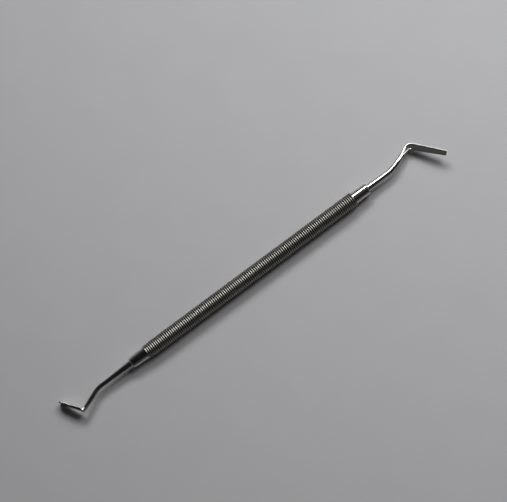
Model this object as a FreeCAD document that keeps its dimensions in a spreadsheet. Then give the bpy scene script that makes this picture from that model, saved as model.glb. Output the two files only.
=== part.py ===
# Double-ended dental spatula: a ring-grooved metal handle with an angled blade set into each end.
#
# Millimetres and degrees. +X runs along the handle towards the long blade, +Z is up, and the origin
# is on the handle's axis at the middle of its ringed grip. The tool lies as it rests on a table: the
# handle on its side, rolled about its axis until the short blade's tip touches down as well. The
# tool's own rings are 0.84 mm apart and as deep as here. They are set wider to keep the part light.
import FreeCAD, Part
import os
import math
import Sketcher

# Driving sizes: alias, value and what it measures

HANDLE_SIZES = [
    ("grip_length", 98.8, "ringed part of the handle, collars left out"),
    ("grip_diameter", 5.9, "over the crests of the rings"),
    ("ring_pitch", 1.4, "from one ring to the next, wider than on the tool itself"),
    ("ring_depth", 0.19, "crest to root of the V between two rings"),
    ("crest_skim", 0.01, "what the V grooves take off the bar between them"),
    ("near_taper_length", 5.0, "ringed taper at the short blade's end"),
    ("near_taper_diameter", 5.4, "over the crests where that taper meets the collar"),
    ("far_bevel_length", 0.6, "bevel of the grip at the long blade's end"),
    ("far_bevel_diameter", 5.5, "small end of that bevel"),
    ("near_collar_length", 6.9, "smooth collar at the short blade's end"),
    ("near_collar_root", 4.9, "its diameter at the grip"),
    ("near_collar_mouth", 4.3, "its diameter at the shank"),
    ("far_collar_length", 6.7, "smooth collar at the long blade's end"),
    ("far_collar_root", 4.9, "its diameter at the grip"),
    ("far_collar_mouth", 4.6, "its diameter at the shank"),
    ("mouth_bevel", 0.2, "broken edge round each collar's end face"),
    ("tang_diameter", 2.0, "pin of a working end inside the handle"),
    ("tang_length", 8.0, "depth of that pin in the handle"),
    ("tang_clearance", 0.01, "room round the tang for the solder"),
    ("bore_extra", 0.6, "bore left free past the tang"),
    ("drill_point", 0.5, "cone that the drill leaves at the bottom of the bore"),
    ("tang_bevel", 0.25, "lead-in bevel on the tang"),
]

LONG_END_SIZES = [
    ("root_diameter", 2.9, "shank at the collar"),
    ("neck_diameter", 2.3, "shank at the first bend"),
    ("waist_diameter", 2.1, "shank where the flattening starts"),
    ("first_straight", 9.0, "collar to the first bend"),
    ("bend_radius", 16.1, "first bend, at the centre line"),
    ("bend_angle", 19.5, "turn of the first bend"),
    ("second_straight", 7.6, "first bend to the elbow"),
    ("flattening", 4.2, "length over which the shank is flattened before the elbow"),
    ("elbow_width", 2.5, "flattened shank where the elbow starts"),
    ("elbow_thickness", 1.5, "flattened shank where the elbow starts"),
    ("elbow_radius", 1.8, "elbow, at the centre line"),
    ("elbow_angle", 69.3, "turn of the elbow, back across the axis"),
    ("blade_length", 13.8, "elbow to tip"),
    ("blade_width", 2.75, "blade at the elbow"),
    ("blade_thickness", 1.2, "blade at the elbow"),
    ("swell_start", 5.0, "elbow to where the blade takes its own width"),
    ("swell_width", 2.55, "blade there"),
    ("swell_thickness", 0.75, "blade there"),
    ("tip_width", 2.25, "blade just before its rounded end"),
    ("tip_thickness", 0.42, "blade just before its rounded end"),
    ("tip_corner", 0.75, "corner radius of the rounded end"),
    ("edge_round", 0.18, "radius along the blade's edges"),
]

SHORT_END_SIZES = [
    ("root_diameter", 2.95, "shank at the collar"),
    ("neck_diameter", 2.0, "shank at the first bend"),
    ("waist_diameter", 1.8, "shank where the flattening starts"),
    ("first_straight", 13.9, "collar to the first bend"),
    ("bend_radius", 8.6, "first bend, at the centre line"),
    ("bend_angle", 22.3, "turn of the first bend"),
    ("second_straight", 7.5, "first bend to the elbow"),
    ("flattening", 2.5, "length over which the shank is flattened before the elbow"),
    ("elbow_width", 2.1, "flattened shank where the elbow starts"),
    ("elbow_thickness", 1.3, "flattened shank where the elbow starts"),
    ("elbow_radius", 1.1, "elbow, at the centre line"),
    ("elbow_angle", 77.2, "turn of the elbow, back across the axis"),
    ("blade_length", 9.3, "elbow to tip"),
    ("blade_width", 2.9, "blade at the elbow"),
    ("blade_thickness", 1.05, "blade at the elbow"),
    ("swell_start", 3.2, "elbow to where the blade takes its own width"),
    ("swell_width", 3.7, "blade there"),
    ("swell_thickness", 0.8, "blade there"),
    ("tip_width", 4.2, "blade just before its rounded end"),
    ("tip_thickness", 0.6, "blade just before its rounded end"),
    ("tip_corner", 1.0, "corner radius of the rounded end"),
    ("edge_round", 0.16, "radius along the blade's edges"),
]

# Shares that shape the sections and the rounded tips
ROUND_SHARE = 0.98
STRAIGHT_SHARES = (0, 0.25, 0.5, 0.75, 1)
BEND_SHARES = (0.33, 0.67)
FLATTENING_SHARES = (0.25, 0.5, 0.75)
TIP_TURNS = (30, 60, 82)
TIP_THINNING = 0.3
ELBOW_SHARES = (0.25, 0.5, 0.75)

# Limits: least metal a cut removes in cubic mm, steepest roll at rest and how finely it is found
LEAST_CUT = 1e-6
STEEPEST_ROLL = 60.0
ROLL_PRECISION = 1e-4

# Sketch axes and points, as the sketcher numbers them
HORIZONTAL, VERTICAL = -1, -2
START, END, CENTRE = 1, 2, 3

doc = FreeCAD.newDocument("double_ended_spatula")
sheet = doc.addObject("Spreadsheet::Sheet", "Sizes")
aliases = []


def add_size(alias, number, note):
    """Put one driving size on the next row of the sheet."""
    row = len(aliases) + 1
    sheet.set(f"A{row}", alias)
    sheet.set(f"B{row}", str(number))
    sheet.set(f"C{row}", note)
    sheet.setAlias(f"B{row}", alias)
    aliases.append(alias)


def bound(formula):
    """Formula of size names, as an expression that any object of the document can hold."""
    words = formula.replace("(", " ( ").replace(")", " ) ").split()
    return " ".join(f"Sizes.{word}" if word in aliases else word for word in words)


def value(formula):
    """Number that a formula of size names has now."""
    return float(sheet.evalExpression(formula))


def plane(body, role):
    """Origin plane of a body, found by its role."""
    return next(feature for feature in body.Origin.OriginFeatures if feature.Role == role)


def outline(body, name, corners):
    """Closed outline of straight edges on the body's XY plane, each corner two formulas."""
    sketch = body.newObject("Sketcher::SketchObject", name)
    sketch.AttachmentSupport = [(plane(body, "XY_Plane"), "")]
    sketch.MapMode = "FlatFace"
    places = [FreeCAD.Vector(value(x), value(y), 0) for x, y in corners]
    for here, there in zip(places, places[1:] + places[:1]):
        sketch.addGeometry(Part.LineSegment(here, there))
    for index, (x, y) in enumerate(corners):
        before = (index - 1) % len(corners)
        sketch.addConstraint(Sketcher.Constraint("Coincident", before, END, index, START))
        for kind, formula, axis in (("DistanceX", x, VERTICAL), ("DistanceY", y, HORIZONTAL)):
            if formula == "0":
                sketch.addConstraint(Sketcher.Constraint("PointOnObject", index, START, axis))
            else:
                fixed = Sketcher.Constraint(kind, HORIZONTAL, START, index, START, value(formula))
                number = sketch.addConstraint(fixed)
                sketch.setExpression(f"Constraints[{number}]", bound(formula))
    return sketch


def turned(body, name, kind, corners):
    """Revolution or Groove of an outline about the body's X axis."""
    feature = body.newObject(f"PartDesign::{kind}", name)
    feature.Profile = outline(body, f"{name}_outline", corners)
    feature.ReferenceAxis = (feature.Profile[0], ["H_Axis"])
    feature.Angle = 360
    doc.recompute()
    return feature


def cut_checked(body, before, name):
    """Stop if a cut that should remove metal has removed none."""
    if body.Shape.Volume >= before - LEAST_CUT:
        raise RuntimeError(f"{name} cuts nothing")


def ring_pattern(body, name, groove, copies, small_end=None):
    """Copies of a ring groove towards -X, each a little smaller where a small end is given."""
    kind = "PartDesign::MultiTransform" if small_end else "PartDesign::LinearPattern"
    result = body.newObject(kind, name)
    result.Originals = [groove]
    row = result
    if small_end:
        row = doc.addObject("PartDesign::LinearPattern", f"{name}_row")
        scaled = doc.addObject("PartDesign::Scaled", f"{name}_scale")
        scaled.setExpression("Factor", bound(small_end))
        scaled.Occurrences = copies
        result.Transformations = [row, scaled]
    row.Direction = (plane(body, "X_Axis"), [""])
    row.Reversed = True
    row.Occurrences = copies
    row.setExpression("Length", bound(f"ring_pitch * {copies - 1}"))
    body.Tip = result
    doc.recompute()
    return result


def make_handle():
    """Turned bar with smooth collars, V grooves between its rings and a bore in each end."""
    body = doc.addObject("PartDesign::Body", "handle")
    near, far = "- grip_length / 2", "grip_length / 2"
    near_mouth = f"{near} - near_collar_length"
    far_mouth = f"{far} + far_collar_length"
    bar = "grip_diameter / 2 + crest_skim"
    turned(body, "bar", "Revolution", [
        (near_mouth, "0"),
        (near_mouth, "near_collar_mouth / 2 - mouth_bevel"),
        (f"{near_mouth} + mouth_bevel", "near_collar_mouth / 2"),
        (near, "near_collar_root / 2"),
        (near, "near_taper_diameter / 2 + crest_skim"),
        (f"{near} + near_taper_length", bar),
        (f"{far} - far_bevel_length", bar),
        (far, "far_bevel_diameter / 2"),
        (far, "far_collar_root / 2"),
        (f"{far_mouth} - mouth_bevel", "far_collar_mouth / 2"),
        (far_mouth, "far_collar_mouth / 2 - mouth_bevel"),
        (far_mouth, "0"),
    ])

    straight = int(value("(grip_length - near_taper_length - far_bevel_length) / ring_pitch"))
    tapered = int(value("near_taper_length / ring_pitch"))
    last_ring = f"{far} - far_bevel_length - ring_pitch / 2"
    rings = (("ring_groove", last_ring, straight, None),
             ("taper_groove", f"{last_ring} - ring_pitch * {straight}", tapered,
              "near_taper_diameter / grip_diameter"))
    # The V is drawn half a pitch wider on each side, so that neighbours leave a sharp crest
    above = "grip_diameter / 2 + ring_depth"
    root = "grip_diameter / 2 - ring_depth"
    for name, middle, copies, small_end in rings:
        before = body.Shape.Volume
        groove = turned(body, name, "Groove", [
            (f"{middle} - ring_pitch", above),
            (f"{middle}", root),
            (f"{middle} + ring_pitch", above),
        ])
        cut_checked(body, before, name)
        before = body.Shape.Volume
        ring_pattern(body, f"{name}s", groove, copies, small_end)
        cut_checked(body, before, f"{name}s")

    bore = "tang_diameter / 2 + tang_clearance"
    for name, mouth, way in (("near_bore", near_mouth, "+"), ("far_bore", far_mouth, "-")):
        before = body.Shape.Volume
        bottom = f"{mouth} {way} (tang_length + bore_extra)"
        turned(body, name, "Groove", [
            (mouth, "0"),
            (mouth, bore),
            (bottom, bore),
            (f"{bottom} {way} drill_point", "0"),
        ])
        cut_checked(body, before, name)
    body.setExpression("Placement.Rotation.Roll", "-Sizes.rest_roll")
    return body


def bent_path(body, end):
    """Centre line of a working end: straight, bend, straight, elbow back, blade."""
    path = body.newObject("Sketcher::SketchObject", f"{end}_path")
    path.AttachmentSupport = [(plane(body, "XY_Plane"), "")]
    path.MapMode = "FlatFace"
    turn = math.radians(value(f"{end}_bend_angle"))
    fall = turn - math.radians(value(f"{end}_elbow_angle"))
    bend_radius, elbow_radius = value(f"{end}_bend_radius"), value(f"{end}_elbow_radius")

    def ahead(place, length, angle):
        return place + FreeCAD.Vector(length * math.cos(angle), length * math.sin(angle), 0)

    def arc(centre, radius, first, last):
        circle = Part.Circle(centre, FreeCAD.Vector(0, 0, 1), radius)
        path.addGeometry(Part.ArcOfCircle(circle, first, last))

    quarter = math.pi / 2
    root = FreeCAD.Vector(0, 0, 0)
    bend_start = ahead(root, value(f"{end}_first_straight"), 0)
    bend_centre = ahead(bend_start, bend_radius, quarter)
    bend_end = ahead(bend_centre, bend_radius, turn - quarter)
    elbow_start = ahead(bend_end, value(f"{end}_second_straight"), turn)
    elbow_centre = ahead(elbow_start, elbow_radius, turn - quarter)
    elbow_end = ahead(elbow_centre, elbow_radius, fall + quarter)
    path.addGeometry(Part.LineSegment(root, bend_start))
    arc(bend_centre, bend_radius, -quarter, turn - quarter)
    path.addGeometry(Part.LineSegment(bend_end, elbow_start))
    arc(elbow_centre, elbow_radius, fall + quarter, turn + quarter)
    path.addGeometry(Part.LineSegment(elbow_end, ahead(elbow_end, value(f"{end}_blade_length"), fall)))

    path.addConstraint(Sketcher.Constraint("Coincident", 0, START, HORIZONTAL, START))
    path.addConstraint(Sketcher.Constraint("Horizontal", 0))
    path.addConstraint(Sketcher.Constraint("Tangent", 0, END, 1, START))
    path.addConstraint(Sketcher.Constraint("Tangent", 1, END, 2, START))
    path.addConstraint(Sketcher.Constraint("Tangent", 2, END, 3, END))
    path.addConstraint(Sketcher.Constraint("Tangent", 3, START, 4, START))
    measures = [
        ("Distance", 0, f"{end}_first_straight"),
        ("Radius", 1, f"{end}_bend_radius"),
        ("Angle", 2, f"{end}_bend_angle"),
        ("Distance", 2, f"{end}_second_straight"),
        ("Radius", 3, f"{end}_elbow_radius"),
        ("Angle", 4, f"{end}_bend_angle - {end}_elbow_angle"),
        ("Distance", 4, f"{end}_blade_length"),
    ]
    for kind, line, formula in measures:
        size = math.radians(value(formula)) if kind == "Angle" else value(formula)
        number = path.addConstraint(Sketcher.Constraint(kind, line, size))
        path.setExpression(f"Constraints[{number}]", bound(formula))
    doc.recompute()
    return path


def section(path, edge, share, across, through, corner):
    """Rounded rectangle square to an edge of the path, its across side in the plane of the bends."""
    body = path.getParentGeoFeatureGroup()
    sketch = body.newObject("Sketcher::SketchObject", f"{path.Name}_section")
    sketch.AttachmentSupport = [(path, f"Edge{edge}")]
    sketch.MapMode = "NormalToEdge"
    sketch.MapPathParameter = value(share)
    sketch.setExpression("MapPathParameter", bound(share))
    radius = value(corner)
    right, top = value(across) / 2 - radius, value(through) / 2 - radius
    quarter = math.pi / 2
    corners = [(right, top), (-right, top), (-right, -top), (right, -top)]
    for index, (x, y) in enumerate(corners):
        # A straight side comes first, then the round corner that it runs into
        before_x, before_y = corners[index - 1]
        way = FreeCAD.Vector(math.cos(index * quarter), math.sin(index * quarter), 0) * radius
        start = FreeCAD.Vector(before_x, before_y, 0) + way
        centre = FreeCAD.Vector(x, y, 0)
        sketch.addGeometry(Part.LineSegment(start, centre + way))
        circle = Part.Circle(centre, FreeCAD.Vector(0, 0, 1), radius)
        sketch.addGeometry(Part.ArcOfCircle(circle, index * quarter, (index + 1) * quarter))
    for side in range(0, 8, 2):
        sketch.addConstraint(Sketcher.Constraint("Tangent", side, END, side + 1, START))
        sketch.addConstraint(Sketcher.Constraint("Tangent", side + 1, END, (side + 2) % 8, START))
        sketch.addConstraint(Sketcher.Constraint("Horizontal" if side % 4 else "Vertical", side))
    for arc in (3, 5, 7):
        sketch.addConstraint(Sketcher.Constraint("Equal", 1, arc))
    sketch.addConstraint(Sketcher.Constraint("Symmetric", 1, CENTRE, 5, CENTRE, HORIZONTAL, START))
    measures = [
        (Sketcher.Constraint("Radius", 1, radius), corner),
        (Sketcher.Constraint("DistanceX", 4, START, 0, START, value(across)), across),
        (Sketcher.Constraint("DistanceY", 6, START, 2, START, value(through)), through),
    ]
    for constraint, formula in measures:
        number = sketch.addConstraint(constraint)
        sketch.setExpression(f"Constraints[{number}]", bound(formula))
    return sketch


def loft(body, name, sections):
    """Solid through a row of sections, straight from one to the next."""
    feature = body.newObject("PartDesign::AdditiveLoft", name)
    feature.Ruled = True
    feature.Profile = sections[0]
    feature.Sections = [(sketch, [""]) for sketch in sections[1:]]
    doc.recompute()
    return feature


def between(first, last, share):
    """Formula of a size some share of the way from one size to another."""
    return f"{first} + ( {last} - {first} ) * {share}"


def make_working_end(node, end, broad_side_in_bend_plane):
    """Bent shank with its blade, from its tang at -X to the blade's tip, bends in the XY plane."""
    body = doc.addObject("PartDesign::Body", node)
    path = bent_path(body, end)
    tang = "tang_diameter / 2"
    turned(body, "tang", "Revolution", [
        ("- tang_length", "0"),
        ("- tang_length", f"{tang} - tang_bevel"),
        ("tang_bevel - tang_length", tang),
        ("0", tang),
        ("0", "0"),
    ])

    def round_section(edge, share, diameter):
        return section(path, edge, share, diameter, diameter, f"{diameter} * {ROUND_SHARE / 2}")

    def sides(width, thickness):
        return (width, thickness) if broad_side_in_bend_plane else (thickness, width)

    def flat_section(edge, share, width, thickness):
        return section(path, edge, share, *sides(width, thickness), f"{end}_edge_round")

    root, neck, waist = (f"{end}_{place}_diameter" for place in ("root", "neck", "waist"))
    elbow = (f"{end}_elbow_width", f"{end}_elbow_thickness")
    broad = (f"{end}_blade_width", f"{end}_blade_thickness")
    swell = (f"{end}_swell_width", f"{end}_swell_thickness")
    elbow_start = flat_section(3, "1", *elbow)
    flattening = [
        section(path, 3, f"1 - {end}_flattening * {1 - share:.2f} / {end}_second_straight",
                *(between(waist, side, share) for side in sides(*elbow)),
                between(f"{waist} * {ROUND_SHARE / 2}", f"{end}_edge_round", share))
        for share in FLATTENING_SHARES
    ]
    loft(body, "shank", [
        *(round_section(1, f"{share}", f"( {between(root, neck, share)} )") for share in STRAIGHT_SHARES),
        *(round_section(2, f"{share}", neck) for share in BEND_SHARES),
        round_section(3, "0", neck),
        round_section(3, f"1 - {end}_flattening / {end}_second_straight", waist),
        *flattening,
        elbow_start,
    ])
    # The strip widens evenly round the elbow, whose arc runs back from the blade to the shank
    round_elbow = [
        flat_section(4, f"{1 - share}", *(between(first, last, share) for first, last in zip(elbow, broad)))
        for share in ELBOW_SHARES
    ]
    blade_root = flat_section(5, "0", *broad)
    loft(body, "elbow", [elbow_start] + round_elbow + [blade_root])

    def tip_section(turn):
        # The rounded end starts one corner radius before the tip and follows a quarter circle
        rise, inset = math.sin(math.radians(turn)), 1 - math.cos(math.radians(turn))
        share = f"1 - {end}_tip_corner * {1 - rise:.6f} / {end}_blade_length"
        width = f"{end}_tip_width - {end}_tip_corner * {2 * inset:.6f}"
        thickness = f"{end}_tip_thickness * {1 - TIP_THINNING * inset:.6f}"
        return flat_section(5, share, width, thickness)

    shoulder = tip_section(0)
    swelling = flat_section(5, f"{end}_swell_start / {end}_blade_length", *swell)
    loft(body, "blade", [blade_root, swelling, shoulder])
    loft(body, "rounded_tip", [shoulder] + [tip_section(turn) for turn in TIP_TURNS])
    return body


def settled_roll(short_tip):
    """Roll about X that brings the short blade's lowest point level with the grip's."""
    floor = -value("grip_diameter / 2")
    low, high = 0.0, STEEPEST_ROLL
    while high - low > ROLL_PRECISION:
        middle = (low + high) / 2
        turned_tip = short_tip.copy()
        turned_tip.rotate(FreeCAD.Vector(), FreeCAD.Vector(1, 0, 0), middle)
        if turned_tip.optimalBoundingBox(False, False).ZMin > floor:
            low = middle
        else:
            high = middle
    return (low + high) / 2


for size in HANDLE_SIZES:
    add_size(*size)
for end, sizes in (("long", LONG_END_SIZES), ("short", SHORT_END_SIZES)):
    for alias, number, note in sizes:
        add_size(f"{end}_{alias}", number, note)
add_size("rest_roll", 10, "roll about the handle's axis at rest, worked out below")
doc.recompute()

handle = make_handle()
long_tip = make_working_end("long_blade_tip", "long", True)
short_tip = make_working_end("short_blade_tip", "short", False)

sheet.set(f"B{len(aliases)}", f"{settled_roll(short_tip.Shape):.4f}")
long_tip.setExpression("Placement.Base.x", bound("grip_length / 2 + far_collar_length"))
long_tip.setExpression("Placement.Rotation.Roll", "-Sizes.rest_roll")
short_tip.setExpression("Placement", (
    f"create(<<placement>>; create(<<vector>>; {bound('- grip_length / 2 - near_collar_length')}; 0; 0);"
    " create(<<rotation>>; 180; 0; Sizes.rest_roll))"
))
doc.recompute()

# Nothing is written unless every object is sound
for item in doc.Objects:
    if {"Invalid", "Error"} & set(item.State):
        raise RuntimeError(f"{item.Label} failed: {item.State}")
os.makedirs("parts", exist_ok=True)
for body in (handle, long_tip, short_tip):
    if body.Shape.isNull() or not body.Shape.isValid() or len(body.Shape.Solids) != 1:
        raise RuntimeError(f"{body.Label} is not one sound solid")
for body in (handle, long_tip, short_tip):
    body.Shape.exportStep(f"parts/{body.Label}.step")
    print(body.Label, f"{body.Shape.Volume:.2f} cubic mm")
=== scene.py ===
"""Double-ended dental spatula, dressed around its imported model.

The handle is one turned steel bar with ring grooves. Each end of it carries a bent, ground and
polished working end. Sizes are written in millimetres and turned to metres by MM. Only the lights
and the table's width are written in metres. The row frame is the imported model's: +X along the
handle towards the long blade, +Z up, origin on the handle's axis.
"""
import logging
import math
from dataclasses import dataclass, field
from enum import Enum
from typing import Any, Optional

import bmesh
import bpy
import numpy as np
from mathutils import Matrix, Vector


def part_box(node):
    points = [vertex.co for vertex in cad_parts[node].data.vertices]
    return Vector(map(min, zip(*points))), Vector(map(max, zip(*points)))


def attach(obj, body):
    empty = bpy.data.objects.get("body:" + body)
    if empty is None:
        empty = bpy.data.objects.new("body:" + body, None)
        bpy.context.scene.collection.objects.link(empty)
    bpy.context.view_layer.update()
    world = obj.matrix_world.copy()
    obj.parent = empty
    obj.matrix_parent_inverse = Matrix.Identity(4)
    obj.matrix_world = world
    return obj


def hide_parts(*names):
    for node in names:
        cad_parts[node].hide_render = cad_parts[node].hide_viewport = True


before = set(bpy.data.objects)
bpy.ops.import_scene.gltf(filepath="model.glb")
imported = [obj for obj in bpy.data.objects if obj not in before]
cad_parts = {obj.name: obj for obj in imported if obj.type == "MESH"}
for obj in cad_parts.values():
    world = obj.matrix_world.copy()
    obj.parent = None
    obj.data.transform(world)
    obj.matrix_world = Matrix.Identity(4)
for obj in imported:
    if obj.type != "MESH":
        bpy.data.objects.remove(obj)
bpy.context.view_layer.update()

logging.basicConfig(level=logging.INFO, format="%(levelname)s %(message)s")
LOG = logging.getLogger("spatula")

MM = 0.001
BODY = "root"

# Points nearer to each other than this, in millimetres, become one: first where ring meets ring,
# then in a finished piece. All other points are further apart.
RING_MERGE = 0.002
PIECE_MERGE = 0.0005

# Nearly all of a noise lies in this range
NOISE_LOW, NOISE_HIGH = 0.3, 0.7

# Width of the change from turned to polished steel, in millimetres
POLISH_EDGE = 0.05

# Corner radius of a swept section. At the elbow it is a share of the steel's thickness. At the
# blade's start the edges are rounder than further out, by a factor. The last two are shares of a
# section's smaller size and keep the two corners of a side from meeting.
ELBOW_CORNER_SHARE = 0.32
BLADE_START_ROUNDING = 1.4
TIP_CORNER_SHARE = 0.45
LARGEST_CORNER_SHARE = 0.49

# Where a flat side has an extra point by each corner, as shares of its width
FLAT_SHARES = (0.1, 0.9)

# Turns of a blade's rounded tip, in degrees, at which it has a section
TIP_TURNS = range(15, 91, 15)

# A vertex of the long tip counts as the blade's end from this share of the farthest one's reach
FARTHEST_SHARE = 0.97

Point = tuple[float, float]
Triple = tuple[float, float, float]
Section = tuple[float, float, float, float]


class Slot(Enum):
    """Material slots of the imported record."""

    HANDLE = "handle_steel"
    BLADE = "blade_steel"


class BroadSide(Enum):
    """Which way a blade's broad side lies."""

    IN_BEND_PLANE = "in the plane of the bends"
    ACROSS_BEND_PLANE = "square across the plane of the bends"


def linear(hex_colour: str) -> tuple[float, float, float, float]:
    """Turn an sRGB hex colour to linear RGBA.

    Args:
        hex_colour: Six hex digits after a hash, such as "#B4B2AE".

    Returns:
        Linear red, green and blue, and an alpha of 1.
    """
    parts = [int(hex_colour[i:i + 2], 16) / 255 for i in (1, 3, 5)]
    red, green, blue = (
        c / 12.92 if c <= 0.04045 else ((c + 0.055) / 1.055) ** 2.4 for c in parts)
    return (red, green, blue, 1.0)


def add_node(tree: bpy.types.NodeTree, kind: str, inputs: Optional[dict[Any, Any]] = None,
             **settings: Any) -> bpy.types.Node:
    """Add a node with its settings and links.

    Args:
        tree: Node tree that gets the node.
        kind: Blender's name for the node type.
        inputs: Socket name or number, and either the output socket that feeds it or its value.
        **settings: Properties of the node itself.

    Returns:
        The new node.
    """
    node = tree.nodes.new(kind)
    for name, setting in settings.items():
        setattr(node, name, setting)
    for socket, source in (inputs or {}).items():
        if isinstance(source, bpy.types.NodeSocket):
            tree.links.new(source, node.inputs[socket])
        else:
            node.inputs[socket].default_value = source
    return node


def blend(tree: bpy.types.NodeTree, share: bpy.types.NodeSocket, first: Any,
          second: Any) -> bpy.types.NodeSocket:
    """Mix two colours.

    Args:
        tree: Node tree that gets the mix.
        share: Output socket that holds the second colour's share.
        first: Colour at a share of 0, as a value or an output socket.
        second: Colour at a share of 1, as a value or an output socket.

    Returns:
        Output socket with the mixed colour.
    """
    # The node's number and vector sockets have the same names, so the colour ones go by number
    mix = add_node(tree, "ShaderNodeMix", {0: share, 6: first, 7: second}, data_type="RGBA")
    return mix.outputs[2]


def blank_material(name: str) -> bpy.types.Material:
    """Make a material whose node tree is empty.

    Args:
        name: Name of the material.

    Returns:
        The material.
    """
    made = bpy.data.materials.new(name)
    made.use_nodes = True
    made.node_tree.nodes.clear()
    return made


def linked(name: str, data: bpy.types.ID) -> bpy.types.Object:
    """Put a mesh, light or camera into the scene.

    Args:
        name: Name of its object.
        data: The mesh, light or camera.

    Returns:
        The new object, at the origin.
    """
    made = bpy.data.objects.new(name, data)
    bpy.context.scene.collection.objects.link(made)
    return made


def mesh_of(bm: bmesh.types.BMesh, name: str) -> bpy.types.Mesh:
    """Turn a mesh under construction into a plain one.

    Args:
        bm: The mesh under construction. It is freed here.
        name: Name of the plain mesh.

    Returns:
        The plain mesh.
    """
    mesh = bpy.data.meshes.new(name)
    bm.to_mesh(mesh)
    bm.free()
    return mesh


@dataclass(frozen=True)
class SteelFinish:
    """Stainless steel as a tool maker leaves it, with the marks of how its surface was made.

    The grain is a noise that is longer one way than the other, so that it reads as fine parallel
    marks and frays the edge of a highlight along them. A broad mottle stands for handling and
    polish that differs from place to place, and keeps a large highlight from looking even.

    Attributes:
        name: Name of the material, which says what the metal is and how it was made.
        colour: Colour of the metal.
        worn_colour: Colour that the mottle blends to.
        roughness: Middle roughness.
        roughness_spread: How far the grain moves the roughness either way.
        grain_size: Size of a mark along X, Y and Z, in millimetres.
        grain_depth: Depth of a mark, in millimetres.
        mottle_size: Size of a patch of the mottle, in millimetres.
        valley: Radii in metres of a groove's darkest painted shade and of the unshaded metal over
            it.
        groove_shade_colour: Painted shade at the bottom of a groove.
        drawn_in: X of a taper's small and full end, in metres, and the small end's share of the
            full radius. The default has no taper.
        polished_beyond: Distance from the middle, in metres, past which the bar was polished.
        polished_share: Roughness and grain of the polished stretch, as a share of the rest's.
        polished_colour: Colour of the polished stretch.
    """

    name: str
    colour: str
    worn_colour: str
    roughness: float
    roughness_spread: float
    grain_size: Triple
    grain_depth: float
    mottle_size: float
    valley: Optional[Point] = None
    groove_shade_colour: str = "#211F1D"
    # Painted shade at the bottom of the ring grooves
    drawn_in: Triple = (-1.0, 0.0, 1.0)
    polished_beyond: Optional[float] = None
    polished_share: float = 0.21
    polished_colour: str = "#D2CFCA"

    def material(self) -> bpy.types.Material:
        """Build the finish as a node material.

        Returns:
            The material, which reads Object coordinates only.
        """
        made = blank_material(self.name)
        tree = made.node_tree
        place = add_node(tree, "ShaderNodeTexCoord").outputs["Object"]
        lay = Vector([1 / (size * MM) for size in self.grain_size])
        stretched = add_node(tree, "ShaderNodeMapping", {"Vector": place, "Scale": lay})
        grain = add_node(tree, "ShaderNodeTexNoise", {
            "Vector": stretched.outputs["Vector"], "Scale": 1.0, "Detail": 4.0, "Roughness": 0.6})
        mottle = add_node(tree, "ShaderNodeTexNoise", {
            "Vector": place, "Scale": 1 / (self.mottle_size * MM), "Detail": 3.0})
        colour = blend(
            tree, mottle.outputs["Fac"], linear(self.colour), linear(self.worn_colour))
        # Painted shade: the ring grooves darken towards their bottoms
        if self.valley:
            colour = self.painted_groove_shade(tree, place, colour)
        rough = add_node(tree, "ShaderNodeMapRange", {
            "Value": grain.outputs["Fac"], "From Min": NOISE_LOW, "From Max": NOISE_HIGH,
            "To Min": self.roughness - self.roughness_spread,
            "To Max": self.roughness + self.roughness_spread}).outputs["Result"]
        depth: Any = 1.0
        if self.polished_beyond is not None:
            depth = self.unpolished(tree, place)
            colour = blend(tree, depth, linear(self.polished_colour), colour)
            rough = add_node(tree, "ShaderNodeMath", {
                0: rough, 1: depth}, operation="MULTIPLY").outputs[0]
        relief = add_node(tree, "ShaderNodeBump", {
            "Height": grain.outputs["Fac"], "Strength": depth,
            "Distance": self.grain_depth * MM})
        steel = add_node(tree, "ShaderNodeBsdfPrincipled", {
            "Base Color": colour, "Metallic": 1.0, "Roughness": rough,
            "Normal": relief.outputs["Normal"]})
        add_node(tree, "ShaderNodeOutputMaterial", {"Surface": steel.outputs["BSDF"]})
        return made

    def unpolished(self, tree: bpy.types.NodeTree,
                   place: bpy.types.NodeSocket) -> bpy.types.NodeSocket:
        """Tell the grip from the collars past it, which were polished after turning.

        Args:
            tree: Tree of the material.
            place: Object coordinates.

        Returns:
            1 on the grip and the polished share on the collars.
        """
        along = add_node(tree, "ShaderNodeSeparateXYZ", {"Vector": place}).outputs["X"]
        out = add_node(tree, "ShaderNodeMath", {0: along}, operation="ABSOLUTE").outputs[0]
        return add_node(tree, "ShaderNodeMapRange", {
            "Value": out, "From Min": self.polished_beyond,
            "From Max": self.polished_beyond + POLISH_EDGE * MM,
            "To Min": 1.0, "To Max": self.polished_share}).outputs["Result"]

    def painted_groove_shade(self, tree: bpy.types.NodeTree, place: bpy.types.NodeSocket,
                         colour: bpy.types.NodeSocket) -> bpy.types.NodeSocket:
        """Paint shade into the metal's colour near the bottom of the ring grooves.

        The radius is compared with what it would be if the grip weren't drawn in at one end.

        Args:
            tree: Tree of the material.
            place: Object coordinates.
            colour: Colour of the open metal.

        Returns:
            Colour with the painted groove shade in it.
        """
        bottom, top = self.valley
        small, full, least = self.drawn_in
        along = add_node(tree, "ShaderNodeSeparateXYZ", {"Vector": place}).outputs["X"]
        drawn = add_node(tree, "ShaderNodeMapRange", {
            "Value": along, "From Min": small, "From Max": full, "To Min": least, "To Max": 1.0})
        flat = add_node(tree, "ShaderNodeVectorMath", {
            0: place, 1: (0.0, 1.0, 1.0)}, operation="MULTIPLY")
        reach = add_node(tree, "ShaderNodeVectorMath", {
            0: flat.outputs["Vector"]}, operation="LENGTH")
        even = add_node(tree, "ShaderNodeMath", {
            0: reach.outputs["Value"], 1: drawn.outputs["Result"]}, operation="DIVIDE")
        share = add_node(tree, "ShaderNodeMapRange", {
            "Value": even.outputs[0], "From Min": bottom, "From Max": top})
        return blend(tree, share.outputs["Result"], linear(self.groove_shade_colour), colour)


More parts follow.
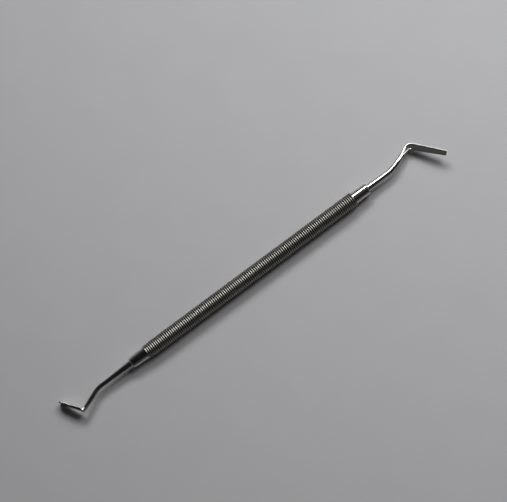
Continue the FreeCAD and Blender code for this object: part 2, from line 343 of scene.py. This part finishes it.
def turned(bm: bmesh.types.BMesh, profile: list[Point], segments: int) -> None:
    """Turn a profile about the X axis.

    Args:
        bm: Mesh that gets the faces.
        profile: Points (x, radius) in metres. A radius of 0 becomes one pole.
        segments: Faces round the axis.
    """
    turns = [2 * math.pi * k / segments for k in range(segments)]
    loops = []
    for x, radius in profile:
        spots = [(x, radius * math.cos(a), radius * math.sin(a)) for a in turns]
        loops.append([bm.verts.new(spot) for spot in (spots if radius else [(x, 0, 0)])])
    for here, there in zip(loops, loops[1:]):
        for k in range(segments):
            after = (k + 1) % segments
            corners = [here[k % len(here)], here[after % len(here)],
                       there[after % len(there)], there[k % len(there)]]
            bm.faces.new(dict.fromkeys(corners))


def finished(bm: bmesh.types.BMesh, name: str, material: bpy.types.Material,
             node: str, sharp_angle: float) -> None:
    """Close a mesh, shade it and hand it to the frame in place of its CAD node.

    Args:
        bm: The mesh in the row frame. It is freed here.
        name: Name of the piece.
        material: Its finish.
        node: CAD node that the piece stands for.
        sharp_angle: Degrees between faces from which an edge stays sharp.
    """
    bmesh.ops.remove_doubles(bm, verts=bm.verts, dist=PIECE_MERGE * MM)
    bmesh.ops.recalc_face_normals(bm, faces=bm.faces)
    open_edges = sum(1 for edge in bm.edges if not edge.is_manifold)
    mesh = mesh_of(bm, name)
    mesh.materials.append(material)
    mesh.shade_smooth()
    mesh.set_sharp_from_angle(angle=math.radians(sharp_angle))
    piece = linked(name, mesh)
    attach(piece, BODY)
    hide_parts(node)
    LOG.info("%s: %d faces, %d open edges", name, len(mesh.polygons), open_edges)


@dataclass
class Handle:
    """Turned bar: ringed grip, a ringed taper at the near end, and a bored collar at each end.

    The near end is the one at -X, with the short blade. Sizes are in millimetres.

    Attributes:
        ring_pitch: Distance from ring to ring that is aimed at.
        crest_round: Radius of a ring's rounded crest.
        crest_steps: Faces on each half of a crest.
        dark_depth: Share of a groove's depth from which its painted shade is darkest.
        open_depth: Share of a groove's depth down to which it has no painted shade, as bright as
            a crest.
        near_collar_root: Diameter of the near collar at the grip.
        near_collar_mouth: Diameter of the near collar at the shank.
        drill_point: Depth of the cone at a bore's bottom.
        segments: Faces round the bar.
        sharp_angle: Degrees between faces from which an edge stays sharp.
        ends: X of the end faces in metres, as packed.
    """

    grip_length: float = 98.8
    grip_diameter: float = 5.9
    ring_pitch: float = 0.84
    ring_depth: float = 0.19
    crest_round: float = 0.13
    crest_steps: int = 2
    dark_depth: float = 0.85
    open_depth: float = 0.25
    near_taper_length: float = 5.0
    near_taper_diameter: float = 5.4
    near_collar_root: float = 4.9
    near_collar_mouth: float = 4.3
    far_collar_root: float = 4.9
    far_collar_mouth: float = 4.6
    mouth_bevel: float = 0.2
    bore_diameter: float = 2.02
    bore_depth: float = 8.6
    drill_point: float = 0.5
    segments: int = 72
    sharp_angle: float = 16.0
    ends: Point = field(
        default_factory=lambda: (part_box("handle")[0].x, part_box("handle")[1].x))

    def small_share(self) -> float:
        """Radius of the taper's small end, as a share of the grip's."""
        return self.near_taper_diameter / self.grip_diameter

    def taper_span(self) -> Point:
        """X of the taper's small end and of its full end, in metres."""
        near = -self.grip_length / 2
        return near * MM, (near + self.near_taper_length) * MM

    def finish(self) -> SteelFinish:
        """Turned stainless bar stock, with its collars polished after turning.

        The grip's turning marks are 0.11 mm wide along the axis and run 2 mm round it. They dull
        it to satin, so that each ring shows one soft bright line. Shade is painted into the
        grooves' colour from a quarter of their depth downwards, which sets the rings apart. The
        collars have a fifth of the grip's roughness and show the room as clear bands.

        Returns:
            The finish.
        """
        crest = self.grip_diameter / 2
        return SteelFinish(
            name="turned_stainless_steel", colour="#9F9D96", worn_colour="#86847D",
            roughness=0.38, roughness_spread=0.08, grain_size=(1 / 9, 2.0, 2.0),
            grain_depth=0.0012, mottle_size=7.0,
            # Radii between which shade is painted into the grooves
            valley=((crest - self.dark_depth * self.ring_depth) * MM,
                    (crest - self.open_depth * self.ring_depth) * MM),
            drawn_in=(*self.taper_span(), self.small_share()),
            polished_beyond=self.grip_length / 2 * MM)

    def rings(self) -> tuple[int, float]:
        """Fit whole rings to the grip, as near to the tool's own pitch as they go.

        Returns:
            Number of rings and the width of one, in millimetres.
        """
        number = int(self.grip_length / self.ring_pitch)
        return number, self.grip_length / number

    def ring(self) -> bpy.types.Object:
        """Mesh of one ring, valley to valley, open at both sides.

        Returns:
            An object that only feeds the ring tree.
        """
        half, crown = self.rings()[1] / 2, self.grip_diameter / 2
        flank = math.atan2(self.ring_depth, half)
        section = [(half, crown - self.ring_depth)]
        for step in range(self.crest_steps, -1, -1):
            lean = flank * step / self.crest_steps
            section.append((self.crest_round * math.sin(lean),
                            crown - self.crest_round * (1 - math.cos(lean))))
        across = [(-x, r) for x, r in section[:-1]] + section[::-1]
        bm = bmesh.new()
        turned(bm, [(x * MM, r * MM) for x, r in across], self.segments)
        return linked("ring", mesh_of(bm, "ring"))

    def ring_tree(self) -> bpy.types.NodeTree:
        """Tree that repeats the ring along the grip and draws the near end in to its taper.

        Returns:
            Geometry node tree with named inputs for its sizes.
        """
        tree = bpy.data.node_groups.new("ringed_grip", "GeometryNodeTree")
        sockets = (("Ring", "NodeSocketGeometry"), ("Rings", "NodeSocketInt"),
                   ("Pitch", "NodeSocketFloat"), ("First ring", "NodeSocketFloat"),
                   ("Taper start", "NodeSocketFloat"), ("Taper end", "NodeSocketFloat"),
                   ("Small end", "NodeSocketFloat"))
        for name, kind in sockets:
            tree.interface.new_socket(name, in_out="INPUT", socket_type=kind)
        tree.interface.new_socket("Grip", in_out="OUTPUT", socket_type="NodeSocketGeometry")
        given = add_node(tree, "NodeGroupInput").outputs
        start = add_node(tree, "ShaderNodeCombineXYZ", {"X": given["First ring"]})
        step = add_node(tree, "ShaderNodeCombineXYZ", {"X": given["Pitch"]})
        line = add_node(tree, "GeometryNodeMeshLine", {
            "Count": given["Rings"], "Start Location": start.outputs["Vector"],
            "Offset": step.outputs["Vector"]})
        copies = add_node(tree, "GeometryNodeInstanceOnPoints", {
            "Points": line.outputs["Mesh"], "Instance": given["Ring"]})
        joined = add_node(tree, "GeometryNodeRealizeInstances", {
            "Geometry": copies.outputs["Instances"]})
        merged = add_node(tree, "GeometryNodeMergeByDistance", {
            "Geometry": joined.outputs["Geometry"], "Distance": RING_MERGE * MM})
        place = add_node(tree, "GeometryNodeInputPosition").outputs["Position"]
        along = add_node(tree, "ShaderNodeSeparateXYZ", {"Vector": place}).outputs
        share = add_node(tree, "ShaderNodeMapRange", {
            "Value": along["X"], "From Min": given["Taper end"],
            "From Max": given["Taper start"], "To Min": given["Small end"], "To Max": 1.0})
        scale = add_node(tree, "ShaderNodeCombineXYZ", {
            "X": 1.0, "Y": share.outputs["Result"], "Z": share.outputs["Result"]})
        drawn_in = add_node(tree, "ShaderNodeVectorMath", {
            0: place, 1: scale.outputs["Vector"]}, operation="MULTIPLY")
        shaped = add_node(tree, "GeometryNodeSetPosition", {
            "Geometry": merged.outputs["Geometry"], "Position": drawn_in.outputs["Vector"]})
        add_node(tree, "NodeGroupOutput", {"Grip": shaped.outputs["Geometry"]})
        return tree

    def ringed_grip(self) -> bpy.types.Mesh:
        """Run the ring tree and keep its result as a plain mesh.

        Returns:
            The grip's open tube of rings.
        """
        ring, tree = self.ring(), self.ring_tree()
        number, width = self.rings()
        small, full = self.taper_span()
        values = {
            "Rings": number,
            "Pitch": width * MM,
            "First ring": (width - self.grip_length) / 2 * MM,
            "Taper start": full,
            "Taper end": small,
            "Small end": self.small_share(),
        }
        modifier = ring.modifiers.new("rings", "NODES")
        modifier.node_group = tree
        for item in tree.interface.items_tree:
            if item.in_out == "INPUT" and item.name in values:
                modifier[item.identifier] = values[item.name]
        evaluated = ring.evaluated_get(bpy.context.evaluated_depsgraph_get())
        mesh = bpy.data.meshes.new_from_object(evaluated)
        ring.modifiers.remove(modifier)
        bpy.data.objects.remove(ring)
        return mesh

    def collar(self, bm: bmesh.types.BMesh, side: int, rim: Point, root: float,
               mouth: float) -> None:
        """Add one end of the handle: the shoulder, the collar, its end face and its bore.

        Args:
            bm: Mesh of the handle.
            side: -1 for the near end, 1 for the far end.
            rim: Last point (x, radius) of the ringed grip, in metres.
            root: Collar's diameter at the grip.
            mouth: Collar's diameter at the shank.
        """
        start = side * self.grip_length / 2 * MM
        end = self.ends[0] if side < 0 else self.ends[1]
        bevel, bore = self.mouth_bevel * MM, self.bore_diameter / 2 * MM
        bottom = end - side * self.bore_depth * MM
        turned(bm, [
            rim,
            (start, root / 2 * MM),
            (end - side * bevel, mouth / 2 * MM),
            (end, mouth / 2 * MM - bevel),
            (end, bore),
            (bottom, bore),
            (bottom - side * self.drill_point * MM, 0),
        ], self.segments)

    def build(self) -> None:
        """Make the whole handle as one closed piece."""
        bm = bmesh.new()
        bm.from_mesh(self.ringed_grip())
        low = min((vert.co for vert in bm.verts), key=lambda place: place.x).copy()
        high = max((vert.co for vert in bm.verts), key=lambda place: place.x).copy()
        ends = ((-1, low, self.near_collar_root, self.near_collar_mouth),
                (1, high, self.far_collar_root, self.far_collar_mouth))
        for side, rim, root, mouth in ends:
            self.collar(bm, side, (rim.x, math.hypot(rim.y, rim.z)), root, mouth)
        finished(bm, "ringed_handle", self.finish().material(), "handle",
                 self.sharp_angle)


@dataclass
class WorkingEnd:
    """Bent shank with its blade, made as one swept skin along a centre line in one plane.

    Sizes are in millimetres and angles in degrees. The local frame has +X out of the collar and
    +Y the side that the shank bends to first. From the collar the shank runs straight, bends,
    runs straight again and turns back at the elbow, where the blade starts.

    Attributes:
        piece: Name of the dressed piece.
        node: CAD node that it stands for.
        side: 1 at the handle's far end, -1 at its near end.
        broad_side: Which way the blade's broad side lies.
        root_diameter: Shank at the collar.
        neck_diameter: Shank along the first bend.
        waist_diameter: Shank where it starts to flatten.
        flattening: Distance from there to the elbow.
        swell_start: Distance from the blade's start to its widest or middle section.
        tip_corner: Radius of the rounded corners at the blade's tip.
        edge_round: Radius along the blade's edges.
        tip_thinning: Share of its thickness that the blade loses over its rounded tip.
        corner_steps: Faces round a quarter of a section.
        step: Distance between sections, or a little more so that whole steps fit.
        sharp_angle: Degrees between faces from which an edge stays sharp.
    """

    piece: str
    node: str
    side: int
    broad_side: BroadSide
    root_diameter: float
    neck_diameter: float
    waist_diameter: float
    first_straight: float
    bend_radius: float
    bend_angle: float
    second_straight: float
    flattening: float
    elbow_width: float
    elbow_thickness: float
    elbow_radius: float
    elbow_angle: float
    blade_length: float
    blade_width: float
    blade_thickness: float
    swell_start: float
    swell_width: float
    swell_thickness: float
    tip_width: float
    tip_thickness: float
    tip_corner: float
    edge_round: float
    tang_diameter: float = 2.0
    tang_length: float = 8.0
    tang_bevel: float = 0.25
    tip_thinning: float = 0.06
    corner_steps: int = 9
    step: float = 0.25
    sharp_angle: float = 33.0

    def finish(self) -> SteelFinish:
        """Stainless steel, forged, ground and then polished to near mirror.

        The ground marks are 0.38 mm across and 1.4 mm along, and hardly deep enough to see. They
        and the small roughness soften a reflection's edge, so that the blades and shanks show
        the lights and the dark room as bands with an edge that is clear but not sharp.

        Returns:
            The finish.
        """
        return SteelFinish(
            name=f"polished_stainless_steel_{self.piece}",
            colour="#CBC9C5", worn_colour="#B0AEAA",
            roughness=0.055, roughness_spread=0.02, grain_size=(10 / 7, 5 / 13, 5 / 13),
            grain_depth=0.0015, mottle_size=3.0)

    def centre_line(self, at: float) -> tuple[np.ndarray, float]:
        """Point and heading on the centre line.

        Args:
            at: Distance from the collar along the line. Below 0 it runs back along the tang.

        Returns:
            The point in the local plane and the heading in radians.
        """
        turn, back = math.radians(self.bend_angle), math.radians(self.elbow_angle)
        runs = ((self.first_straight, 0.0), (self.bend_radius * turn, turn),
                (self.second_straight, 0.0), (self.elbow_radius * back, -back),
                (self.blade_length, 0.0))
        place, heading = np.zeros(2), 0.0
        left = at
        for number, (length, angle) in enumerate(runs):
            part = left if number == len(runs) - 1 else min(left, length)
            if angle:
                radius = length / angle
                new = heading + part / radius
                place = place + radius * np.array([math.sin(new) - math.sin(heading),
                                                   math.cos(heading) - math.cos(new)])
                heading = new
            else:
                place = place + part * np.array([math.cos(heading), math.sin(heading)])
            left -= part
            if left <= 0:
                break
        return place, heading

    def key_sections(self) -> list[Section]:
        """Sections that set the form, from the collar to the start of the rounded tip.

        Returns:
            Rows of distance along the line, broad size, thin size and corner radius.
        """
        bend_end = self.first_straight + self.bend_radius * math.radians(self.bend_angle)
        elbow_start = bend_end + self.second_straight
        blade_start = elbow_start + self.elbow_radius * math.radians(self.elbow_angle)
        total = blade_start + self.blade_length
        neck, waist = self.neck_diameter, self.waist_diameter
        return [
            (0.0, self.root_diameter, self.root_diameter, self.root_diameter / 2),
            (self.first_straight, neck, neck, neck / 2),
            (bend_end, neck, neck, neck / 2),
            (elbow_start - self.flattening, waist, waist, waist / 2),
            (elbow_start, self.elbow_width, self.elbow_thickness,
             self.elbow_thickness * ELBOW_CORNER_SHARE),
            (blade_start, self.blade_width, self.blade_thickness,
             self.edge_round * BLADE_START_ROUNDING),
            (blade_start + self.swell_start, self.swell_width, self.swell_thickness,
             self.edge_round),
            (total - self.tip_corner, self.tip_width, self.tip_thickness, self.edge_round),
        ]

    def sections(self) -> list[Section]:
        """Every section of the skin, tang and rounded tip included.

        Returns:
            Rows of distance, broad size, thin size and corner radius.
        """
        keys = np.array(self.key_sections())
        places = keys[:, 0]
        stops = np.unique(np.concatenate([
            np.linspace(a, b, max(2, int((b - a) / self.step) + 1))
            for a, b in zip(places, places[1:])]))
        columns = [smooth_through(places, keys[:, k], stops) for k in (1, 2, 3)]
        tang = self.tang_diameter
        rows = ((-self.tang_length, tang - 2 * self.tang_bevel),
                (self.tang_bevel - self.tang_length, tang), (0.0, tang))
        skin = [(at, size, size, size / 2) for at, size in rows]
        skin += [tuple(row) for row in np.column_stack([stops, *columns])]
        last = keys[-1]
        for turn in TIP_TURNS:
            rise, inset = math.sin(math.radians(turn)), 1 - math.cos(math.radians(turn))
            thin = last[2] * (1 - self.tip_thinning * inset)
            skin.append((last[0] + self.tip_corner * rise, last[1] - 2 * self.tip_corner * inset,
                         thin, min(self.edge_round, thin * TIP_CORNER_SHARE)))
        return skin

    def outline(self, broad: float, thin: float, corner: float) -> list[Point]:
        """Rounded rectangle, with extra points by its corners that keep the flats flat.

        Args:
            broad: Full size along the broad side.
            thin: Full size along the thin side.
            corner: Corner radius, held to a little under half of the smaller size.

        Returns:
            Points round the outline, the same number for every section.
        """
        radius = min(corner, LARGEST_CORNER_SHARE * min(broad, thin))
        right, top = broad / 2 - radius, thin / 2 - radius
        middles = [(right, top), (-right, top), (-right, -top), (right, -top)]
        points: list[Point] = []
        for index, (x, y) in enumerate(middles):
            arc = []
            for k in range(self.corner_steps + 1):
                angle = math.radians(90 * (index + k / self.corner_steps))
                arc.append((x + radius * math.cos(angle), y + radius * math.sin(angle)))
            points += arc
            after = middles[(index + 1) % 4]
            angle = math.radians(90 * (index + 1))
            onward = (after[0] + radius * math.cos(angle), after[1] + radius * math.sin(angle))
            points += [tuple(arc[-1][i] + (onward[i] - arc[-1][i]) * share for i in (0, 1))
                       for share in FLAT_SHARES]
        return points

    def placement(self, roll: float) -> Matrix:
        """Where the local frame lies in the row frame.

        Args:
            roll: Roll of the whole tool about its axis at rest, in radians.

        Returns:
            The local frame's matrix, in metres.
        """
        low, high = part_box("handle")
        mouth = high.x if self.side > 0 else low.x
        turn = Matrix.Rotation(-roll, 4, "X")
        if self.side < 0:
            turn = Matrix.Rotation(math.pi, 4, "Z") @ Matrix.Rotation(roll, 4, "X")
        return Matrix.Translation((mouth, 0, 0)) @ turn

    def build(self, roll: float) -> None:
        """Sweep the sections into one closed skin.

        Args:
            roll: Roll of the whole tool about its axis at rest, in radians.
        """
        bm = bmesh.new()
        place = self.placement(roll)
        in_bend_plane = self.broad_side is BroadSide.IN_BEND_PLANE
        loops = []
        for at, broad, thin, corner in self.sections():
            centre, heading = self.centre_line(at)
            sideways = np.array([-math.sin(heading), math.cos(heading)])
            loop = []
            for u, v in self.outline(broad, thin, corner):
                in_plane, across = (u, v) if in_bend_plane else (v, u)
                spot = centre + sideways * in_plane
                local = Vector((spot[0] * MM, spot[1] * MM, across * MM))
                loop.append(bm.verts.new(place @ local))
            loops.append(loop)
        for here, there in zip(loops, loops[1:]):
            for k in range(len(here)):
                after = (k + 1) % len(here)
                bm.faces.new((here[k], here[after], there[after], there[k]))
        bm.faces.new(loops[0])
        bm.faces.new(loops[-1])
        finished(bm, self.piece, self.finish().material(), self.node,
                 self.sharp_angle)


def smooth_through(places: np.ndarray, sizes: np.ndarray, stops: np.ndarray) -> np.ndarray:
    """Cubic through key sizes that never swings past them.

    Args:
        places: Distances of the key sizes, rising.
        sizes: The key sizes.
        stops: Distances where a size is wanted.

    Returns:
        Sizes at the stops.
    """
    gaps, rises = np.diff(places), np.diff(sizes) / np.diff(places)
    slopes = np.zeros_like(sizes)
    for k in range(1, len(sizes) - 1):
        if rises[k - 1] * rises[k] > 0:
            first, second = 2 * gaps[k] + gaps[k - 1], gaps[k] + 2 * gaps[k - 1]
            slopes[k] = (first + second) / (first / rises[k - 1] + second / rises[k])
    slopes[0], slopes[-1] = rises[0], rises[-1]
    span = np.clip(np.searchsorted(places, stops, side="right") - 1, 0, len(gaps) - 1)
    gap = gaps[span]
    t = (stops - places[span]) / gap
    return ((1 + 2 * t) * (1 - t) ** 2 * sizes[span] + t * (1 - t) ** 2 * gap * slopes[span]
            + t * t * (3 - 2 * t) * sizes[span + 1] + t * t * (t - 1) * gap * slopes[span + 1])


def rest_roll(node: str) -> float:
    """Roll of the plane of the bends, read from where the long blade's tip lies.

    Args:
        node: CAD node of the long working end.

    Returns:
        The roll about the handle's axis, in radians.
    """
    places = np.array([vert.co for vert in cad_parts[node].data.vertices])
    reach = np.hypot(places[:, 1], places[:, 2])
    tip = places[reach > FARTHEST_SHARE * reach.max()]
    # Both faces of the tip count alike, so the middle between its extremes lies in the plane
    middle = (tip.max(axis=0) + tip.min(axis=0)) / 2
    return math.atan2(middle[2], -middle[1])


def long_end() -> WorkingEnd:
    """Working end at +X: its long blade lies in the plane of the bends."""
    return WorkingEnd(
        piece="long_blade", node="long_blade_tip", side=1, broad_side=BroadSide.IN_BEND_PLANE,
        root_diameter=2.9, neck_diameter=2.3, waist_diameter=2.1, first_straight=9.0,
        bend_radius=16.1, bend_angle=19.5, second_straight=7.6, flattening=4.2,
        elbow_width=2.5, elbow_thickness=1.5, elbow_radius=1.8, elbow_angle=69.3,
        blade_length=13.78, blade_width=2.75, blade_thickness=1.2,
        swell_start=5.0, swell_width=2.55, swell_thickness=0.75,
        tip_width=2.22, tip_thickness=0.42, tip_corner=0.75, edge_round=0.18)


def short_end() -> WorkingEnd:
    """Working end at -X: its short blade stands square across the plane of the bends."""
    return WorkingEnd(
        piece="short_blade", node="short_blade_tip", side=-1,
        broad_side=BroadSide.ACROSS_BEND_PLANE,
        root_diameter=2.95, neck_diameter=2.0, waist_diameter=1.8, first_straight=13.9,
        bend_radius=8.6, bend_angle=22.3, second_straight=7.5, flattening=2.5,
        elbow_width=2.1, elbow_thickness=1.3, elbow_radius=1.1, elbow_angle=77.2,
        blade_length=9.3, blade_width=2.9, blade_thickness=1.05,
        swell_start=3.2, swell_width=3.7, swell_thickness=0.8,
        tip_width=4.15, tip_thickness=0.6, tip_corner=1.0, edge_round=0.1, tip_thinning=0.32)


@dataclass(frozen=True)
class SoftLight:
    """Rectangular light that faces a point. Sizes and places are in metres.

    Attributes:
        name: Name of the light.
        place: Its middle.
        aim: Point that it faces.
        size: Its width and height.
        power: Its power in watts.
        spread: Full angle of its beam in degrees. At 180 it shines to all sides.
    """

    name: str
    place: Triple
    aim: Triple
    size: Point
    power: float
    spread: float = 180.0

    def build(self) -> None:
        """Add the light to the scene."""
        data = bpy.data.lights.new(self.name, "AREA")
        data.shape = "RECTANGLE"
        data.size, data.size_y = self.size
        data.energy = self.power
        data.spread = math.radians(self.spread)
        light = linked(self.name, data)
        light.location = self.place
        light.rotation_mode = "QUATERNION"
        light.rotation_quaternion = (
            Vector(self.place) - Vector(self.aim)).to_track_quat("Z", "Y")


# The window gives the table its slope from light to dark, and the bars their long bright lines.
# The two lamps beside it soften the shadows' edges and bring the shadows in under the tool. The
# ceiling panel is wide and dim, so that a blade seen on its face mirrors an even dark grey.
SOFT_LIGHTS = (
    SoftLight(name="window", place=(0.448, 0.549, 0.588), aim=(0.20, -0.15, 0.0),
              size=(0.86, 0.22), power=1.55, spread=74.0),
    SoftLight(name="lamp", place=(0.50, 0.22, 0.69), aim=(0.0, 0.0, 0.0),
              size=(0.34, 0.34), power=2.3),
    SoftLight(name="side_lamp", place=(0.62, 0.20, 0.47), aim=(0.0, 0.0, 0.0),
              size=(0.24, 0.3), power=0.45),
    SoftLight(name="ceiling_panel", place=(0.37, 0.2, 0.80), aim=(0.37, 0.2, 0.0),
              size=(0.66, 0.8), power=0.115),
)


@dataclass
class Studio:
    """Pale table, four soft lights in a dark room, and a camera almost straight above.

    Attributes:
        azimuth: The camera's azimuth in degrees.
        elevation: The camera's height over the table in degrees.
        distance: The camera's distance in millimetres.
        nearest_seen: Distance in millimetres from which the camera sees.
        pixels_per_mm: Scale of the photograph at the handle's axis.
        frame_pixels: Width and height of the photograph.
        origin_pixel: Pixel of the photograph that the row's origin falls on.
        table_colour: Colour of the table.
        table_mottle: Colour that its mottle blends to.
        table_mottle_size: Size of a patch of the mottle in millimetres.
        table_grain_size: Size of a mark of the table's grain in millimetres.
        table_grain_depth: Depth of a mark in millimetres.
        table_width: Width of the table in metres.
        wall_colour: The room at the table's height.
        ceiling_colour: The room overhead.
        ceiling_from: Rise of a look out of the scene, as a share of its length, from which it
            meets the ceiling.
    """

    azimuth: float = -36.65
    elevation: float = 84.0
    distance: float = 700.0
    nearest_seen: float = 10.0
    pixels_per_mm: float = 2.62
    frame_pixels: tuple[int, int] = (507, 502)
    origin_pixel: Point = (250.2, 275.4)
    table_colour: str = "#B6B6B8"
    table_mottle: str = "#B1B1B3"
    table_mottle_size: float = 50 / 3
    table_grain_size: float = 0.4
    table_grain_depth: float = 0.01
    table_width: float = 6.0
    wall_colour: str = "#606062"
    ceiling_colour: str = "#1D1D1E"
    ceiling_from: float = 0.8

    def axes(self) -> tuple[Vector, Vector, Vector]:
        """Directions of the camera.

        Returns:
            Right and up in the picture, and back towards the camera.
        """
        a, e = math.radians(self.azimuth), math.radians(self.elevation)
        right = Vector((math.cos(a), math.sin(a), 0))
        back = Vector((math.sin(a) * math.cos(e), -math.cos(a) * math.cos(e), math.sin(e)))
        return right, back.cross(right), back

    def camera(self) -> None:
        """Set the camera so that the row's origin falls on its pixel of the photograph."""
        right, up, back = self.axes()
        width, height = self.frame_pixels
        aside = (width / 2 - self.origin_pixel[0]) / self.pixels_per_mm * MM
        above = (self.origin_pixel[1] - height / 2) / self.pixels_per_mm * MM
        aim = right * aside + up * above
        data = bpy.data.cameras.new("camera")
        data.lens = data.sensor_width * self.distance / (width / self.pixels_per_mm)
        data.clip_start = self.nearest_seen * MM
        camera = linked("camera", data)
        camera.matrix_world = Matrix.Translation(aim + back * self.distance * MM) @ Matrix(
            (right, up, back)).transposed().to_4x4()
        bpy.context.scene.camera = camera

    def laminate(self) -> bpy.types.Material:
        """Pressed plastic laminate, smooth and pale.

        Its mottle of 17 mm patches is so faint that it only keeps the grey from looking flat. The
        pressing plate's 0.4 mm grain and the middling roughness give a soft sheen in place of a
        reflection.

        Returns:
            The material.
        """
        made = blank_material("pale_laminate")
        tree = made.node_tree
        place = add_node(tree, "ShaderNodeTexCoord").outputs["Object"]
        mottle = add_node(tree, "ShaderNodeTexNoise", {
            "Vector": place, "Scale": 1 / (self.table_mottle_size * MM), "Detail": 3.0})
        tone = blend(tree, mottle.outputs["Fac"], linear(self.table_colour),
                     linear(self.table_mottle))
        grain = add_node(tree, "ShaderNodeTexNoise", {
            "Vector": place, "Scale": 1 / (self.table_grain_size * MM), "Detail": 2.0})
        relief = add_node(tree, "ShaderNodeBump", {
            "Height": grain.outputs["Fac"], "Strength": 0.4,
            "Distance": self.table_grain_depth * MM})
        surface = add_node(tree, "ShaderNodeBsdfPrincipled", {
            "Base Color": tone, "Roughness": 0.55, "Normal": relief.outputs["Normal"]})
        add_node(tree, "ShaderNodeOutputMaterial", {"Surface": surface.outputs["BSDF"]})
        return made

    def table(self) -> None:
        """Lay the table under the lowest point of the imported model."""
        low = min(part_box(node)[0].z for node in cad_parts)
        bm = bmesh.new()
        bmesh.ops.create_grid(bm, x_segments=1, y_segments=1, size=self.table_width / 2)
        bmesh.ops.translate(bm, verts=bm.verts, vec=(0, 0, low))
        table = linked("table", mesh_of(bm, "table"))
        table.data.materials.append(self.laminate())

    def room(self) -> None:
        """Grey walls that darken upwards to the ceiling, which the steel mirrors."""
        world = bpy.data.worlds.new("room")
        bpy.context.scene.world = world
        world.use_nodes = True
        tree = world.node_tree
        tree.nodes.clear()
        way = add_node(tree, "ShaderNodeTexCoord").outputs["Generated"]
        height = add_node(tree, "ShaderNodeSeparateXYZ", {"Vector": way}).outputs["Z"]
        share = add_node(tree, "ShaderNodeMapRange", {
            "Value": height, "From Min": 0.0, "From Max": self.ceiling_from})
        tone = blend(tree, share.outputs["Result"], linear(self.wall_colour),
                     linear(self.ceiling_colour))
        glow = add_node(tree, "ShaderNodeBackground", {"Color": tone, "Strength": 1.0})
        add_node(tree, "ShaderNodeOutputWorld", {"Surface": glow.outputs["Background"]})

    def build(self) -> None:
        """Set up the table, the lights, the room, the camera and the view transform."""
        self.table()
        for light in SOFT_LIGHTS:
            light.build()
        self.room()
        self.camera()
        bpy.context.scene.view_settings.view_transform = "Standard"


def main() -> None:
    """Build each sub-assembly in order and report it."""
    Studio().build()
    roll = rest_roll("long_blade_tip")
    LOG.info("roll at rest: %.3f degrees", math.degrees(roll))
    Handle().build()
    for end in (long_end(), short_end()):
        end.build(roll)


if __name__ == "__main__":
    main()
